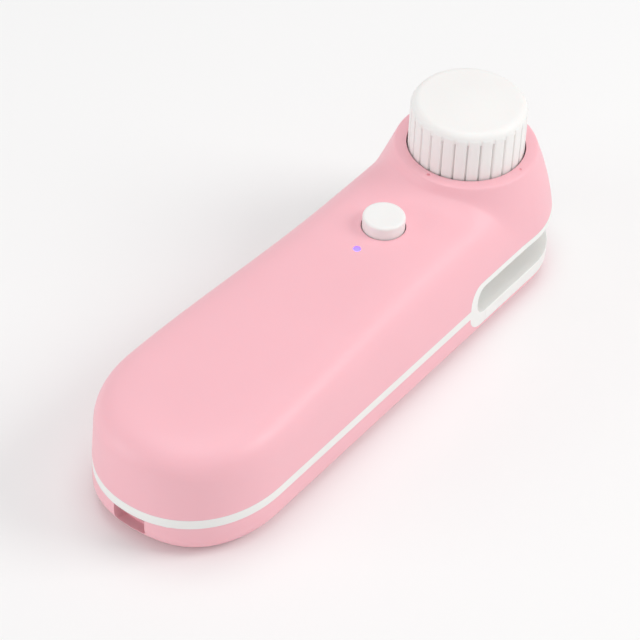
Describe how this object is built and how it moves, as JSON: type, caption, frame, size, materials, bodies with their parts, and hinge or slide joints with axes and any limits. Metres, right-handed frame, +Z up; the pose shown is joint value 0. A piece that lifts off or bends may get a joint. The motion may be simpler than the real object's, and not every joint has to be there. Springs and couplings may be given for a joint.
{
  "type": "handheld bag heat sealer",
  "caption": "Long rounded handheld bag heat sealer with a side slot at the head, a ribbed press-and-turn knob above it, a push button, an indicator light and a tail charging port.",
  "frame": {"origin": "centre of the bounding box on the underside", "axes": "+X from the tail to the sealing head, +Z up along the knob"},
  "size_m": [0.1618, 0.049, 0.0509],
  "materials": {
    "pink_shell": "satin moulded plastic, pale pink",
    "white_trim": "satin white plastic",
    "white_knob": "satin white plastic",
    "white_button": "satin white plastic",
    "silicone": "soft light grey silicone",
    "mica": "mica sheet",
    "steel": "zinc plated steel",
    "stem_steel": "ground steel",
    "spring_steel": "drawn spring wire",
    "black_plastic": "moulded black plastic",
    "acetal": "natural acetal",
    "brass": "turned brass",
    "phenolic": "dark phenolic",
    "aluminium": "milled aluminium",
    "nichrome": "nickel chromium ribbon",
    "ptfe": "brown non-stick coated cloth",
    "sensor_body": "coated bead",
    "switch_body": "switch body",
    "board_green": "solder mask",
    "chip_black": "chip package",
    "led_body": "diode package",
    "light_pipe": "clear light guide with a violet glow",
    "socket_metal": "plated steel",
    "cell_can": "nickel plated can",
    "cell_wrap": "shrink wrap",
    "nickel": "nickel strip",
    "red_insulation": "insulated lead",
    "black_insulation": "insulated lead"
  },
  "bodies": {
    "housing": {"battery_cell": "cell_can", "battery_cradle": "black_plastic", "battery_lead_negative": "black_insulation", "battery_lead_positive": "red_insulation", "battery_sleeve": "cell_wrap", "battery_tabs": "nickel", "board_chips": "chip_black", "board_screws": "steel", "case_screws": "steel", "charge_board": "board_green", "charge_chip": "chip_black", "charge_lead_negative": "black_insulation", "charge_lead_positive": "red_insulation", "charging_socket": "socket_metal", "guide_bush": "acetal", "guide_plate": "black_plastic", "heat_shield": "mica", "heater_lead_negative": "black_insulation", "heater_lead_positive": "red_insulation", "indicator_led": "led_body", "jaw_screws": "steel", "lead_terminals": "brass", "light_pipe": "light_pipe", "lower_jaw": "white_trim", "lower_shell": "pink_shell", "main_board": "board_green", "plate_screws": "steel", "pressure_pad": "silicone", "tact_switch": "switch_body", "trim_frame": "white_trim", "upper_shell": "pink_shell"},
    "press_carriage": {"plunger_stem": "stem_steel", "heater_carrier": "phenolic", "heater_shoe": "aluminium", "heater_ribbon": "nichrome", "nonstick_cover": "ptfe", "carrier_screws": "steel", "heater_terminals": "brass", "temperature_sensor": "sensor_body", "knob_washer": "steel", "knob_screw": "steel", "return_spring": "spring_steel", "heater_pigtails": "red_insulation"},
    "knob": {"knob": "white_knob", "knob_cap": "white_knob"},
    "power_button": {"power_button": "white_button", "switch_plunger": "black_plastic"}
  },
  "joints": [
    {"name": "press", "type": "slide", "parent": "housing", "child": "press_carriage", "axis": [0, 0, -1], "range_m": [0, 0.0073], "stiffness_N_per_m": 350, "springref_m": -0.006, "deforming": ["return_spring", "heater_pigtails"]},
    {"name": "knob_turn", "type": "hinge", "parent": "press_carriage", "child": "knob", "pos_m": [0.0565, 0, 0.04], "axis": [0, 0, 1], "range_deg": [0, 90]},
    {"name": "button_press", "type": "slide", "parent": "housing", "child": "power_button", "axis": [0, 0, -1], "range_m": [0, 0.0005], "stiffness_N_per_m": 1500, "springref_m": -0.0004}
  ]
}
